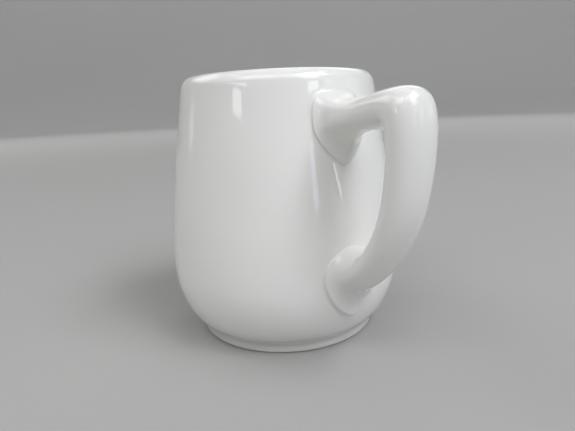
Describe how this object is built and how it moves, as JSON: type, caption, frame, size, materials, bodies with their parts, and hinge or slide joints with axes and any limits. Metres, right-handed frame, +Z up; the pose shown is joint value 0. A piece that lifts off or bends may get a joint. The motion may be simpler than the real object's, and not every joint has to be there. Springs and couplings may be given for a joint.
{
  "type": "shaving mug",
  "caption": "Barrel-shaped mug of thick glazed white china with a rounded lip, a foot ring and a moulded handle luted to the wall by shield-shaped plates.",
  "frame": {"origin": "on the mug's axis, at the plane of the foot ring's bare resting face", "axes": "+Z up along the mug's axis, +X from the axis towards the handle, +Y to the left of someone who looks along +X"},
  "size_m": [0.113, 0.0844, 0.092],
  "materials": {
    "glazed_china": "gloss",
    "glazed_slip": "gloss",
    "bare_china": "matte"
  },
  "bodies": {
    "root": {"mug_body": "glazed_china", "handle": "glazed_china", "upper_slip_joint": "glazed_slip", "lower_slip_joint": "glazed_slip"}
  },
  "joints": []
}
